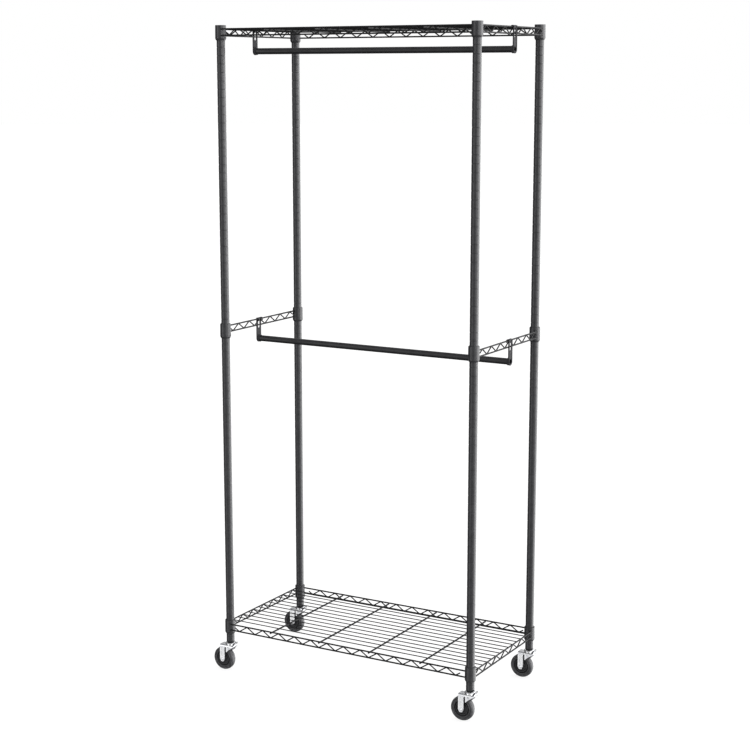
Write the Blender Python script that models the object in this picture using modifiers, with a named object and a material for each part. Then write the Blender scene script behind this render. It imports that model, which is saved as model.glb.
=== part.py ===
"""A rolling clothes rack: four posts on casters, two wire shelves, two side ledges and two hanging rods.

Metres, +Z up, the floor at z = 0. +X runs along the hanging rods and the front faces -Y.
"""

import math

import bmesh
import bpy
from mathutils import Matrix, Vector

# Overall layout
RACK_HEIGHT = 2.0620
POST_SPAN_X = 0.8727
POST_SPAN_Y = 0.4208
FIT_GAP = 0.0003

# Modelling tolerances
WELD_DISTANCE = 0.00001
SHARP_ANGLE = math.radians(40)
GUIDE_SIZE = 0.0200
CUT_REACH = 0.0500

# Posts
POST_RADIUS = 0.0127
POST_WALL = 0.0012
POST_BOTTOM = 0.1003
POST_SIDES = 16
CAP_THICKNESS = 0.0020
CAP_PLUG_LENGTH = 0.0120

# Collars, welded to the shelves and ledges, and the split sleeves that wedge inside them
COLLAR_LEVELS = {"upper": 2.0620, "middle": 1.1433, "lower": 0.1721}
COLLAR_HEIGHT = 0.0400
COLLAR_TOP_RADIUS = 0.0164
COLLAR_FOOT_RADIUS = 0.0168
COLLAR_SIDES = 16
SLEEVE_INNER_RADIUS = POST_RADIUS + FIT_GAP
SLEEVE_TOP_RADIUS = 0.0142
SLEEVE_FOOT_RADIUS = 0.0150
SLEEVE_LIP = 0.0018
SLEEVE_SKIRT = 0.0055
SLEEVE_SKIRT_RADIUS = 0.0162
SLEEVE_SIDES = 16
SLEEVE_SLIT = 0.0012

# Wire trusses along the edges of the shelves and ledges
TRUSS_OFFSET = 0.0125
TRUSS_DROP = 0.0114
TRUSS_DEPTH = 0.0194
FRAME_WIRE = 0.0022
ZIGZAG_WIRE = 0.0018
ZIGZAG_PITCH = 0.0604
LONG_ZIGZAG_PEAKS = 13
SHORT_ZIGZAG_PEAKS = 7

# Shelf deck
DECK_WIRE = 0.0014
DECK_WIRE_COUNT = 13
DECK_WIRE_PITCH = 0.0300
DECK_WIRE_DROP = 0.0004
BRACE_WIRE = 0.0025
BRACE_DROP = DECK_WIRE_DROP + DECK_WIRE + BRACE_WIRE + FIT_GAP
BRACE_PITCH = 3 * ZIGZAG_PITCH
BRACE_OVERHANG = 0.0010

# Hanging rods and their hooks
ROD_RADIUS = 0.0095
ROD_WALL = 0.0015
ROD_DROP = 0.0640
ROD_SIDES = 16
HOOK_WIDTH = 0.0240
HOOK_SHEET = 0.0025
HOOK_EYE_RADIUS = 0.0068
HOOK_CUP_RADIUS = 0.0115
HOOK_CUP_DEPTH = 0.0060
HOOK_SLOT_WIDTH = 0.0120
HOOK_SLOT_LENGTH = 0.0200
HOOK_LIP_DROP = 0.0060

# Casters: each wheel trails its stem towards -X
WHEEL_RADIUS = 0.0380
TREAD_WIDTH = 0.0200
TREAD_FLAT = 0.0100
TREAD_ROUNDING = 0.0035
TYRE_INNER_RADIUS = 0.0240
TYRE_SIDES = 24
HUB_WIDTH = 0.0170
HUB_BOSS_WIDTH = 0.0232
HUB_BOSS_RADIUS = 0.0100
HUB_BOSS_SLOPE = 0.0020
HUB_SIDES = 16
AXLE_RADIUS = 0.0040
AXLE_CLEARANCE = 0.0004
AXLE_HEAD_RADIUS = 0.0062
AXLE_HEAD_THICKNESS = 0.0024
AXLE_HEAD_CHAMFER = 0.0010
AXLE_SIDES = 12
CASTER_TRAIL = 0.0240
FORK_GAP = 0.0250
FORK_SHEET = 0.0025
FORK_LEG_WIDTH = 0.0195
FORK_TIP_RADIUS = 0.0060
FORK_TIP_DROP = 0.0100
FORK_TOP = 0.0870
FORK_NOSE_X = 0.0190
FORK_NOTCH_TOP = 0.0830
HOLE_SIDES = 16
PIN_SIDES = 12
FORK_WING = [(-0.0100, 0.0600), (0.0010, 0.0705), (0.0150, 0.0795), (FORK_NOSE_X, 0.0835)]
RACE_RADIUS = 0.0165
RACE_CHAMFER = 0.0020
RACE_TOP = 0.0910
STEM_CAP_RADIUS = 0.0172
STEM_CAP_FLAT = 0.0115
STEM_CAP_EDGE = 0.0035
STEM_CAP_TOP = 0.0967
STEM_RADIUS = 0.0048
STEM_TOP = 0.1340
KINGPIN_RADIUS = 0.0055
RIVET_RADIUS = 0.0085
RIVET_BOTTOM = 0.0830
RIVET_CHAMFER = 0.0008
INSERT_TOP = 0.1380
INSERT_FLANGE = 0.0030
INSERT_TAPER = 0.0012

# Brake lever, on the side of the stem away from the wheel
BRAKE_PIVOT_X = 0.0010
BRAKE_PIVOT_Z = 0.0785
BRAKE_WIDTH = 0.0200
BRAKE_PIN_RADIUS = 0.0025
BRAKE_HUB_RADIUS = 0.0038
BRAKE_SHOE = [(-0.0018, -0.0074), (-0.0005, -0.0091), (0.0026, -0.0104), (0.0050, -0.0098), (0.0115, -0.0050)]
BRAKE_ARM_TOP = 0.0034
BRAKE_BEND = 0.0016
BRAKE_PEDAL_REACH = 0.0232
BRAKE_PEDAL_TOP = 0.0985
BRAKE_SHEET = 0.0028

# The box is centred on the origin: the wheels stick out to -X and the brake pedals to +X
TYRE_CORNER_RADIUS = WHEEL_RADIUS / math.cos(math.pi / TYRE_SIDES)
GRID_SHIFT = (CASTER_TRAIL + WHEEL_RADIUS - BRAKE_PEDAL_REACH) / 2
SIDE_X = {"left": GRID_SHIFT - POST_SPAN_X / 2, "right": GRID_SHIFT + POST_SPAN_X / 2}
SIDE_Y = {"front": -POST_SPAN_Y / 2, "back": POST_SPAN_Y / 2}
OUTWARD = {"left": -1, "right": 1}
MIDDLE_X = GRID_SHIFT

# Colour, metallic, roughness
FINISHES = {
    "powder_coat": ((0.055, 0.055, 0.060), 0.25, 0.45),
    "rod_coat": ((0.030, 0.030, 0.033), 0.25, 0.35),
    "zinc": ((0.720, 0.720, 0.740), 0.95, 0.30),
    "black_plastic": ((0.030, 0.030, 0.032), 0.0, 0.50),
    "black_rubber": ((0.022, 0.022, 0.024), 0.0, 0.65),
}


# Scene and materials

def clear_scene():
    """Removes whatever the file starts with."""
    for old in list(bpy.data.objects):
        bpy.data.objects.remove(old, do_unlink=True)


def new_collection(name):
    """Adds a collection to the scene."""
    collection = bpy.data.collections.new(name)
    bpy.context.scene.collection.children.link(collection)
    return collection


def finish_material(name, finish):
    """A Principled material of the piece's own, in one of the finishes."""
    colour, metallic, roughness = FINISHES[finish]
    material = bpy.data.materials.new(name)
    material.use_nodes = True
    shader = material.node_tree.nodes["Principled BSDF"]
    shader.inputs["Base Color"].default_value = (*colour, 1.0)
    shader.inputs["Metallic"].default_value = metallic
    shader.inputs["Roughness"].default_value = roughness
    return material


def add_object(name, data, collection=None):
    """Links a new object, by default to the rack's own collection."""
    made = bpy.data.objects.new(name, data)
    (collection or rack).objects.link(made)
    return made


def dress(piece, finish, round_piece=True):
    """Gives a finished piece its material and its shading."""
    mesh = piece.data
    mesh.materials.clear()
    mesh.materials.append(finish_material(piece.name, finish))
    if round_piece:
        mesh.shade_smooth()
        mesh.set_sharp_from_angle(angle=SHARP_ANGLE)
    return piece


def add_empty(name, place, parent=None):
    """A guide at a joint's axis, which moving pieces are parented to."""
    guide = add_object(name, None, cutters)
    guide.empty_display_size = GUIDE_SIZE
    guide.parent = parent
    guide.location = place
    return guide


# Shapes

def baked_mesh(source):
    """The mesh of an object as its modifiers leave it, with a curve's loose caps welded."""
    bpy.context.view_layer.update()
    evaluated = source.evaluated_get(bpy.context.evaluated_depsgraph_get())
    mesh = bpy.data.meshes.new_from_object(evaluated)
    if source.type == "CURVE":
        shape = bmesh.new()
        shape.from_mesh(mesh)
        bmesh.ops.remove_doubles(shape, verts=shape.verts, dist=WELD_DISTANCE)
        shape.to_mesh(mesh)
        shape.free()
    mesh.transform(source.matrix_world)
    return mesh


def baked(source, name):
    """Replaces an object by a plain mesh object of the same shape."""
    made = add_object(name, baked_mesh(source))
    bpy.data.objects.remove(source, do_unlink=True)
    return made


def bar(name, start, end, radius, sides=6):
    """A straight round wire, with a corner of its section on top."""
    start = Vector(start)
    end = Vector(end)
    along = (end - start).normalized()
    up = Vector((0, 0, 1)) if abs(along.z) < 0.9 else Vector((1, 0, 0))
    across = up.cross(along).normalized()
    turn = Matrix((across, along.cross(across), along)).transposed().to_4x4()
    shape = bmesh.new()
    bmesh.ops.create_cone(
        shape, cap_ends=True, segments=sides, radius1=radius, radius2=radius,
        depth=(end - start).length, matrix=Matrix.Translation((start + end) / 2) @ turn,
    )
    bmesh.ops.recalc_face_normals(shape, faces=shape.faces)
    mesh = bpy.data.meshes.new(name)
    shape.to_mesh(mesh)
    shape.free()
    return add_object(name, mesh)


def block(name, low, high):
    """A box between two corners."""
    size = [b - a for a, b in zip(low, high)]
    middle = [(a + b) / 2 for a, b in zip(low, high)]
    shape = bmesh.new()
    bmesh.ops.create_cube(shape, size=1, matrix=Matrix.Translation(middle) @ Matrix.Diagonal((*size, 1)))
    mesh = bpy.data.meshes.new(name)
    shape.to_mesh(mesh)
    shape.free()
    return add_object(name, mesh)


def bent_wire(name, points, radius):
    """A wire of square section bent through the points."""
    curve = bpy.data.curves.new(name, "CURVE")
    curve.dimensions = "3D"
    curve.bevel_depth = radius
    curve.bevel_resolution = 0
    curve.use_fill_caps = True
    spline = curve.splines.new("POLY")
    spline.points.add(len(points) - 1)
    for point, place in zip(spline.points, points):
        point.co = (*place, 1)
    return baked(add_object(name + "_curve", curve), name)


def turned(name, profile, sides, closed=True):
    """A turned shape about Z. The profile of (radius, height) runs down its outer side."""
    mesh = bpy.data.meshes.new(name + "_profile")
    count = len(profile)
    edges = [(i, (i + 1) % count) for i in range(count if closed else count - 1)]
    mesh.from_pydata([(radius, 0, height) for radius, height in profile], edges, [])
    source = add_object(name + "_profile", mesh)
    screw = source.modifiers.new("turn", "SCREW")
    screw.steps = sides
    screw.render_steps = sides
    screw.use_merge_vertices = True
    screw.merge_threshold = WELD_DISTANCE
    return baked(source, name)


def turned_solid(name, profile, sides):
    """A turned shape whose profile starts and ends on the axis."""
    return turned(name, profile, sides, closed=False)


def sheet(name, outline, thickness):
    """A flat plate in the XZ plane, from its outline of (x, z), centred on y = 0."""
    curve = bpy.data.curves.new(name, "CURVE")
    curve.dimensions = "2D"
    curve.fill_mode = "BOTH"
    curve.extrude = thickness / 2
    spline = curve.splines.new("POLY")
    spline.use_cyclic_u = True
    spline.points.add(len(outline) - 1)
    for point, (x, z) in zip(spline.points, outline):
        point.co = (x, z, 0, 1)
    source = add_object(name + "_curve", curve)
    source.matrix_world = Matrix.Rotation(math.pi / 2, 4, "X")
    return baked(source, name)


def arc(centre, radius, start, end, steps):
    """Points on an arc, in degrees, as (x, z)."""
    angles = [math.radians(start + (end - start) * i / steps) for i in range(steps + 1)]
    return [(centre[0] + radius * math.cos(a), centre[1] + radius * math.sin(a)) for a in angles]


def moved(piece, x=0.0, y=0.0, z=0.0, turn=None):
    """Moves a mesh in place, after an optional rotation."""
    piece.data.transform(Matrix.Translation((x, y, z)) @ (turn or Matrix.Identity(4)))
    return piece


def combine(name, base, others, operation):
    """Joins or cuts the base with all the others at once."""
    helpers = bpy.data.collections.new(name + "_helpers")
    cutters.children.link(helpers)
    for other in others:
        rack.objects.unlink(other)
        helpers.objects.link(other)
        other.hide_render = True
        other.display_type = "WIRE"
    modifier = base.modifiers.new(operation.lower(), "BOOLEAN")
    modifier.operation = operation
    modifier.solver = "EXACT"
    modifier.operand_type = "COLLECTION"
    modifier.collection = helpers
    made = baked(base, name)
    for other in others:
        bpy.data.objects.remove(other, do_unlink=True)
    bpy.data.collections.remove(helpers)
    return made


def joined(name, pieces):
    """One body from several overlapping ones."""
    return combine(name, pieces[0], pieces[1:], "UNION")


def cut(name, piece, tools):
    """A body with the tools taken out of it."""
    return combine(name, piece, tools, "DIFFERENCE")


# Collars and trusses, with z = 0 at the collars' top

def collar_blank(name, x, y):
    """A welded collar before it is bored."""
    profile = [
        (0, 0), (COLLAR_TOP_RADIUS, 0), (COLLAR_FOOT_RADIUS, -COLLAR_HEIGHT), (0, -COLLAR_HEIGHT),
    ]
    return moved(turned_solid(name, profile, COLLAR_SIDES), x, y)


def collar_bore(name, x, y):
    """The cutter for a collar's tapered bore."""
    slope = (SLEEVE_FOOT_RADIUS - SLEEVE_TOP_RADIUS) / COLLAR_HEIGHT
    top = SLEEVE_TOP_RADIUS + FIT_GAP - slope * COLLAR_HEIGHT
    foot = SLEEVE_FOOT_RADIUS + FIT_GAP + slope * COLLAR_HEIGHT
    profile = [(0, COLLAR_HEIGHT), (top, COLLAR_HEIGHT), (foot, -2 * COLLAR_HEIGHT), (0, -2 * COLLAR_HEIGHT)]
    return moved(turned_solid(name, profile, COLLAR_SIDES), x, y)


def zigzag(peaks, ends_low):
    """(along, height) of a truss's bent wire. It ends in half legs, from a valley if ends_low."""
    half = ZIGZAG_PITCH / 2
    reach = peaks if ends_low else peaks - 1
    turns = [(i * half, -TRUSS_DEPTH * (abs(i - reach + ends_low) % 2)) for i in range(-reach, reach + 1)]
    end = (turns[-1][0] + half / 2, -TRUSS_DEPTH / 2)
    return [(-end[0], end[1])] + turns + [end]


def truss(name, half_length, bends, to_place):
    """The top wire, the bottom wire and the zigzag between them. to_place puts (along, height) in space."""
    wires = []
    for height in (0, -TRUSS_DEPTH):
        ends = (to_place(-half_length, height), to_place(half_length, height))
        wires.append(bar(f"{name}_{height}", *ends, FRAME_WIRE))
    wires.append(bent_wire(name + "_web", [to_place(along, height) for along, height in bends], ZIGZAG_WIRE))
    return wires


def side_truss(name, side):
    """The truss that runs front to back at one side."""
    x = SIDE_X[side] + OUTWARD[side] * TRUSS_OFFSET
    bends = zigzag(SHORT_ZIGZAG_PEAKS, False)
    return truss(name, POST_SPAN_Y / 2, bends, lambda y, z: (x, y, z - TRUSS_DROP))


def face_truss(name, face):
    """The truss that runs along the front or the back."""
    y = SIDE_Y[face] + math.copysign(TRUSS_OFFSET, SIDE_Y[face])
    bends = zigzag(LONG_ZIGZAG_PEAKS, True)
    return truss(name, POST_SPAN_X / 2, bends, lambda x, z: (MIDDLE_X + x, y, z - TRUSS_DROP))


def deck_wires():
    """The thin wires that things stand on."""
    reach = POST_SPAN_X / 2 + TRUSS_OFFSET
    z = -TRUSS_DROP - DECK_WIRE_DROP
    wires = []
    for i in range(DECK_WIRE_COUNT):
        y = (i - (DECK_WIRE_COUNT - 1) / 2) * DECK_WIRE_PITCH
        wires.append(bar(f"deck_{i}", (MIDDLE_X - reach, y, z), (MIDDLE_X + reach, y, z), DECK_WIRE))
    return wires


def brace_wires():
    """The thicker wires below the deck, from front to back."""
    reach = POST_SPAN_Y / 2 + TRUSS_OFFSET + BRACE_OVERHANG
    z = -TRUSS_DROP - BRACE_DROP
    wires = []
    for step in (-1.5, -0.5, 0.5, 1.5):
        x = MIDDLE_X + step * BRACE_PITCH
        wires.append(bar(f"brace_{step}", (x, -reach, z), (x, reach, z), BRACE_WIRE))
    return wires


def bored(name, pieces, corners):
    """Welds the pieces and the corners' collars together and bores the collars."""
    blanks = [collar_blank(f"collar_{i}", x, y) for i, (x, y) in enumerate(corners)]
    whole = joined(name + "_solid", blanks + pieces)
    return cut(name, whole, [collar_bore(f"bore_{i}", x, y) for i, (x, y) in enumerate(corners)])


def make_shelves():
    """The two wire shelves share one shape."""
    corners = [(x, y) for x in SIDE_X.values() for y in SIDE_Y.values()]
    pieces = face_truss("front", "front") + face_truss("back", "back")
    pieces += side_truss("left", "left") + side_truss("right", "right")
    first = dress(bored("upper_shelf", pieces + deck_wires() + brace_wires(), corners), "powder_coat")
    first.location.z = COLLAR_LEVELS["upper"]
    second = add_object("lower_shelf", first.data.copy())
    dress(second, "powder_coat")
    second.location.z = COLLAR_LEVELS["lower"]


def make_ledges():
    """A short truss with two collars on each pair of side posts."""
    for side in SIDE_X:
        corners = [(SIDE_X[side], y) for y in SIDE_Y.values()]
        ledge = dress(bored(f"{side}_ledge", side_truss("ledge", side), corners), "powder_coat")
        ledge.location.z = COLLAR_LEVELS["middle"]


# Posts and sleeves

def make_posts():
    """A tube, its top cap, its three sleeves and its bottom insert at each corner."""
    for face in SIDE_Y:
        for side in SIDE_X:
            corner = f"{face}_{side}"
            place = (SIDE_X[side], SIDE_Y[face])
            make_post(corner, place)
            for level, top in COLLAR_LEVELS.items():
                make_sleeve(f"{level}_sleeve_{corner}", place, top, level == "upper")


def make_post(corner, place):
    """The post's tube and the cap in its top end."""
    top = RACK_HEIGHT - CAP_THICKNESS - FIT_GAP
    inner = POST_RADIUS - POST_WALL
    profile = [(inner, top), (POST_RADIUS, top), (POST_RADIUS, POST_BOTTOM), (inner, POST_BOTTOM)]
    tube = turned(f"post_{corner}", profile, POST_SIDES)
    dress(moved(tube, *place), "powder_coat")
    plug = inner - FIT_GAP
    foot = RACK_HEIGHT - CAP_THICKNESS
    profile = [
        (0, RACK_HEIGHT), (POST_RADIUS, RACK_HEIGHT), (POST_RADIUS, foot),
        (plug, foot), (plug, foot - CAP_PLUG_LENGTH), (0, foot - CAP_PLUG_LENGTH),
    ]
    cap = turned_solid(f"post_cap_{corner}", profile, POST_SIDES)
    dress(moved(cap, *place), "black_plastic")


def make_sleeve(name, place, top, flush):
    """A tapered plastic clip on the post, slit so that it snaps into a groove."""
    lip = -FIT_GAP if flush else SLEEVE_LIP
    foot = -COLLAR_HEIGHT - FIT_GAP
    skirt = -COLLAR_HEIGHT - SLEEVE_SKIRT
    profile = [
        (SLEEVE_INNER_RADIUS, lip), (SLEEVE_TOP_RADIUS, lip), (SLEEVE_FOOT_RADIUS, foot),
        (SLEEVE_SKIRT_RADIUS, foot), (SLEEVE_INNER_RADIUS, skirt),
    ]
    ring = turned(name + "_ring", profile, SLEEVE_SIDES)
    low = (0, -SLEEVE_SLIT / 2, -2 * COLLAR_HEIGHT)
    high = (2 * POST_RADIUS, SLEEVE_SLIT / 2, COLLAR_HEIGHT)
    slit = block(name + "_slit", low, high)
    sleeve = cut(name, ring, [slit])
    facing = math.atan2(-place[1], -place[0])
    moved(sleeve, *place, top, Matrix.Rotation(facing, 4, "Z"))
    dress(sleeve, "black_plastic")


# Hanging rods

def hook_plane():
    """How far the hook's inner face is outside the post centres."""
    return TRUSS_OFFSET + FRAME_WIRE + FIT_GAP


def make_rods():
    """Two rods, each held by a hook over the side trusses at both ends."""
    for level in ("upper", "middle"):
        wire_z = COLLAR_LEVELS[level] - TRUSS_DROP
        reach = POST_SPAN_X / 2 + hook_plane() - FIT_GAP
        inner = ROD_RADIUS - ROD_WALL
        profile = [(inner, reach), (ROD_RADIUS, reach), (ROD_RADIUS, -reach), (inner, -reach)]
        rod = turned(f"{level}_rod", profile, ROD_SIDES)
        moved(rod, MIDDLE_X, 0, wire_z - ROD_DROP, Matrix.Rotation(math.pi / 2, 4, "Y"))
        dress(rod, "rod_coat")
        for side in SIDE_X:
            make_hook(f"{level}_rod_hook_{side}", side, wire_z)


def make_hook(name, side, wire_z):
    """A plate with an eye and a cup for the rod, bent over the truss's top wire in two prongs."""
    half = HOOK_WIDTH / 2
    bend = FRAME_WIRE + FIT_GAP
    crest = bend + HOOK_SHEET
    outline = [(half, crest), (-half, crest)] + arc((0, -ROD_DROP), half, 180, 360, 8)
    plate = sheet("plate", outline, HOOK_SHEET)
    moved(plate, 0, -bend - HOOK_SHEET / 2)
    prongs = []
    for y_low in (-half, HOOK_SLOT_WIDTH / 2):
        y_high = y_low + half - HOOK_SLOT_WIDTH / 2
        prongs.append(block("lip", (y_low, bend, -HOOK_LIP_DROP), (y_high, bend + HOOK_SHEET, crest)))
    ridge = block("ridge", (-half, -bend - HOOK_SHEET, bend), (half, bend + HOOK_SHEET, crest))
    cup_profile = [
        (ROD_RADIUS + FIT_GAP, 0.5 * HOOK_SHEET), (HOOK_CUP_RADIUS, 0.5 * HOOK_SHEET),
        (HOOK_CUP_RADIUS, -HOOK_CUP_DEPTH), (ROD_RADIUS + FIT_GAP, -HOOK_CUP_DEPTH),
    ]
    cup = turned("cup", cup_profile, ROD_SIDES)
    moved(cup, 0, -bend, -ROD_DROP, Matrix.Rotation(math.pi / 2, 4, "X"))
    whole = joined("hook_solid", [plate, ridge, cup] + prongs)
    eye = bar("eye", (0, -CUT_REACH, -ROD_DROP), (0, CUT_REACH, -ROD_DROP), HOOK_EYE_RADIUS, ROD_SIDES)
    slot_top = -bend - HOOK_SLOT_WIDTH / 2
    slot_outline = arc((0, slot_top), HOOK_SLOT_WIDTH / 2, 0, 180, 6)
    slot_outline += arc((0, slot_top - HOOK_SLOT_LENGTH), HOOK_SLOT_WIDTH / 2, 180, 360, 6)
    slot = moved(sheet("slot", slot_outline, 4 * HOOK_SHEET), 0, -bend - HOOK_SHEET / 2)
    hook = cut(name, whole, [eye, slot])
    x = SIDE_X[side] + OUTWARD[side] * TRUSS_OFFSET
    moved(hook, x, 0, wire_z, Matrix.Rotation(math.pi / 2 * OUTWARD[side], 4, "Z"))
    dress(hook, "powder_coat")


# Casters, with x = y = 0 at the stem's axis

def caster_guides(corner, place):
    """Empties on the swivel, wheel and brake axes."""
    swivel = add_empty(f"swivel_axis_{corner}", (*place, 0))
    wheel = add_empty(f"wheel_axis_{corner}", (-CASTER_TRAIL, 0, WHEEL_RADIUS), swivel)
    brake = add_empty(f"brake_axis_{corner}", (BRAKE_PIVOT_X, 0, BRAKE_PIVOT_Z), swivel)
    return swivel, wheel, brake


def insert_piece(name):
    """The threaded insert in the post's foot."""
    outer = POST_RADIUS - POST_WALL - FIT_GAP
    bore = STEM_RADIUS + FIT_GAP
    foot = POST_BOTTOM - FIT_GAP
    profile = [
        (bore, INSERT_TOP), (outer, INSERT_TOP), (outer, foot), (POST_RADIUS, foot),
        (POST_RADIUS - INSERT_TAPER, foot - INSERT_FLANGE), (bore, foot - INSERT_FLANGE),
    ]
    return turned(name, profile, POST_SIDES)


def stem_piece(name):
    """The stem, the cap over the ball race and the kingpin riveted below the fork."""
    cap_foot = RACE_TOP + FIT_GAP
    rivet_top = FORK_TOP - FORK_SHEET - FIT_GAP
    profile = [
        (0, STEM_TOP), (STEM_RADIUS, STEM_TOP), (STEM_RADIUS, STEM_CAP_TOP),
        (STEM_CAP_FLAT, STEM_CAP_TOP), (STEM_CAP_RADIUS, STEM_CAP_TOP - STEM_CAP_EDGE),
        (STEM_CAP_RADIUS, cap_foot), (KINGPIN_RADIUS, cap_foot), (KINGPIN_RADIUS, rivet_top),
        (RIVET_RADIUS, rivet_top), (RIVET_RADIUS, RIVET_BOTTOM + RIVET_CHAMFER),
        (RIVET_RADIUS - RIVET_CHAMFER, RIVET_BOTTOM), (0, RIVET_BOTTOM),
    ]
    return turned_solid(name, profile, POST_SIDES)


def fork_outline():
    """The fork's side view: the leg down to the axle, a notch beside it and the wing under the crown."""
    axle_x = -CASTER_TRAIL
    back = axle_x - FORK_LEG_WIDTH / 2
    front = axle_x + FORK_LEG_WIDTH / 2
    tip = (axle_x, WHEEL_RADIUS - FORK_TIP_DROP + FORK_TIP_RADIUS)
    outline = [(back, FORK_TOP), (back, WHEEL_RADIUS)]
    outline += arc(tip, FORK_TIP_RADIUS, 210, 330, 4)
    outline += [(front, WHEEL_RADIUS), (front, FORK_NOTCH_TOP), (FORK_WING[0][0], FORK_NOTCH_TOP)]
    return outline + FORK_WING + [(FORK_NOSE_X, FORK_TOP)]


def through_hole(name, x, z, radius, sides):
    """The cutter for a hole along Y through both cheeks."""
    return bar(name, (x, -CUT_REACH, z), (x, CUT_REACH, z), radius + FIT_GAP, sides)


def fork_piece(name):
    """Two side plates under a crown, with the lower ball race on top."""
    outline = fork_outline()
    offset = (FORK_GAP + FORK_SHEET) / 2
    plates = [moved(sheet(f"cheek_{s}", outline, FORK_SHEET), 0, s * offset) for s in (-1, 1)]
    edge = offset + FORK_SHEET / 2
    back = -CASTER_TRAIL - FORK_LEG_WIDTH / 2
    crown = block("crown", (back, -edge, FORK_TOP - FORK_SHEET), (FORK_NOSE_X, edge, FORK_TOP))
    inside = FORK_TOP - FORK_SHEET / 2
    race_profile = [
        (0, RACE_TOP), (RACE_RADIUS - RACE_CHAMFER, RACE_TOP), (RACE_RADIUS, RACE_TOP - RACE_CHAMFER),
        (RACE_RADIUS, inside), (0, inside),
    ]
    race = turned_solid("race", race_profile, POST_SIDES)
    whole = joined("fork_solid", [crown, race] + plates)
    tools = [
        bar("kingpin_hole", (0, 0, CUT_REACH), (0, 0, 3 * CUT_REACH), KINGPIN_RADIUS + FIT_GAP, HOLE_SIDES),
        through_hole("axle_hole", -CASTER_TRAIL, WHEEL_RADIUS, AXLE_RADIUS, HOLE_SIDES),
        through_hole("brake_hole", BRAKE_PIVOT_X, BRAKE_PIVOT_Z, BRAKE_PIN_RADIUS, PIN_SIDES),
    ]
    return cut(name, whole, tools)


def axle_piece(name):
    """The axle bolt through both fork legs, along Y."""
    face = FORK_GAP / 2 + FORK_SHEET + FIT_GAP
    end = face + AXLE_HEAD_THICKNESS
    rim = AXLE_HEAD_RADIUS - AXLE_HEAD_CHAMFER
    shoulder = end - AXLE_HEAD_CHAMFER
    profile = [
        (0, end), (rim, end), (AXLE_HEAD_RADIUS, shoulder), (AXLE_HEAD_RADIUS, face),
        (AXLE_RADIUS, face), (AXLE_RADIUS, -face),
        (AXLE_HEAD_RADIUS, -face), (AXLE_HEAD_RADIUS, -shoulder), (rim, -end), (0, -end),
    ]
    axle = turned_solid(name, profile, AXLE_SIDES)
    return moved(axle, turn=Matrix.Rotation(math.pi / 2, 4, "X"))


def hub_piece(name):
    """The wheel's hub, along Y."""
    bore = AXLE_RADIUS + AXLE_CLEARANCE
    outer = TYRE_INNER_RADIUS - FIT_GAP
    boss = HUB_BOSS_WIDTH / 2
    face = HUB_WIDTH / 2
    foot = HUB_BOSS_RADIUS + HUB_BOSS_SLOPE
    profile = [
        (bore, boss), (HUB_BOSS_RADIUS, boss), (foot, face), (outer, face),
        (outer, -face), (foot, -face), (HUB_BOSS_RADIUS, -boss), (bore, -boss),
    ]
    return moved(turned(name, profile, HUB_SIDES), turn=Matrix.Rotation(math.pi / 2, 4, "X"))


def tyre_piece(name):
    """The tyre, along Y, with a flat of its polygon resting on the floor."""
    half = TREAD_WIDTH / 2
    flat = TREAD_FLAT / 2
    profile = [
        (TYRE_INNER_RADIUS, half), (TYRE_CORNER_RADIUS - TREAD_ROUNDING, half), (TYRE_CORNER_RADIUS, flat),
        (TYRE_CORNER_RADIUS, -flat), (TYRE_CORNER_RADIUS - TREAD_ROUNDING, -half), (TYRE_INNER_RADIUS, -half),
    ]
    tyre = turned(name, profile, TYRE_SIDES)
    roll = Matrix.Rotation(math.pi / 2 + math.pi / TYRE_SIDES, 4, "Y") @ Matrix.Rotation(math.pi / 2, 4, "X")
    return moved(tyre, turn=roll)


def brake_outline():
    """The lever's side view about its pivot: a hub, a shoe above the tread and a pedal beyond the crown."""
    reach = BRAKE_PEDAL_REACH - BRAKE_PIVOT_X
    top = BRAKE_PEDAL_TOP - BRAKE_PIVOT_Z
    inner = reach - BRAKE_SHEET
    arm_foot = BRAKE_ARM_TOP - BRAKE_SHEET
    outline = arc((0, 0), BRAKE_HUB_RADIUS, 50, 200, 6) + BRAKE_SHOE
    outline += [(BRAKE_SHOE[-1][0], arm_foot), (reach - BRAKE_BEND, arm_foot), (reach, arm_foot + BRAKE_BEND)]
    outline += [(reach, top), (inner, top)]
    outline += [(inner, BRAKE_ARM_TOP + BRAKE_BEND), (inner - BRAKE_BEND, BRAKE_ARM_TOP)]
    return outline


def brake_piece(name):
    """The brake lever with its two trunnions, about its pivot."""
    plate = sheet("lever", brake_outline(), BRAKE_WIDTH)
    end = FORK_GAP / 2 + FORK_SHEET
    pin = bar("trunnions", (0, -end, 0), (0, end, 0), BRAKE_PIN_RADIUS, PIN_SIDES)
    return joined(name, [plate, pin])


def make_caster(corner, place):
    """One caster: what is fixed to the post, then what swivels, rolls and brakes."""
    swivel, wheel, brake = caster_guides(corner, place)
    dress(moved(insert_piece(f"post_insert_{corner}"), *place), "black_plastic")
    dress(moved(stem_piece(f"caster_stem_{corner}"), *place), "zinc")
    fork = dress(fork_piece(f"caster_fork_{corner}"), "zinc")
    fork.parent = swivel
    axle = dress(axle_piece(f"axle_bolt_{corner}"), "zinc")
    axle.parent = swivel
    axle.location = wheel.location
    hub = dress(hub_piece(f"wheel_hub_{corner}"), "black_plastic")
    hub.parent = wheel
    tyre = dress(tyre_piece(f"tyre_{corner}"), "black_rubber")
    tyre.parent = wheel
    lever = dress(brake_piece(f"brake_lever_{corner}"), "zinc")
    lever.parent = brake


def make_casters():
    """A caster under each post."""
    for face in SIDE_Y:
        for side in SIDE_X:
            make_caster(f"{face}_{side}", (SIDE_X[side], SIDE_Y[face]))


clear_scene()
rack = new_collection("rolling_clothes_rack")
cutters = new_collection("cutters_and_guides")
make_posts()
make_shelves()
make_ledges()
make_rods()
make_casters()
bpy.context.view_layer.update()
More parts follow.
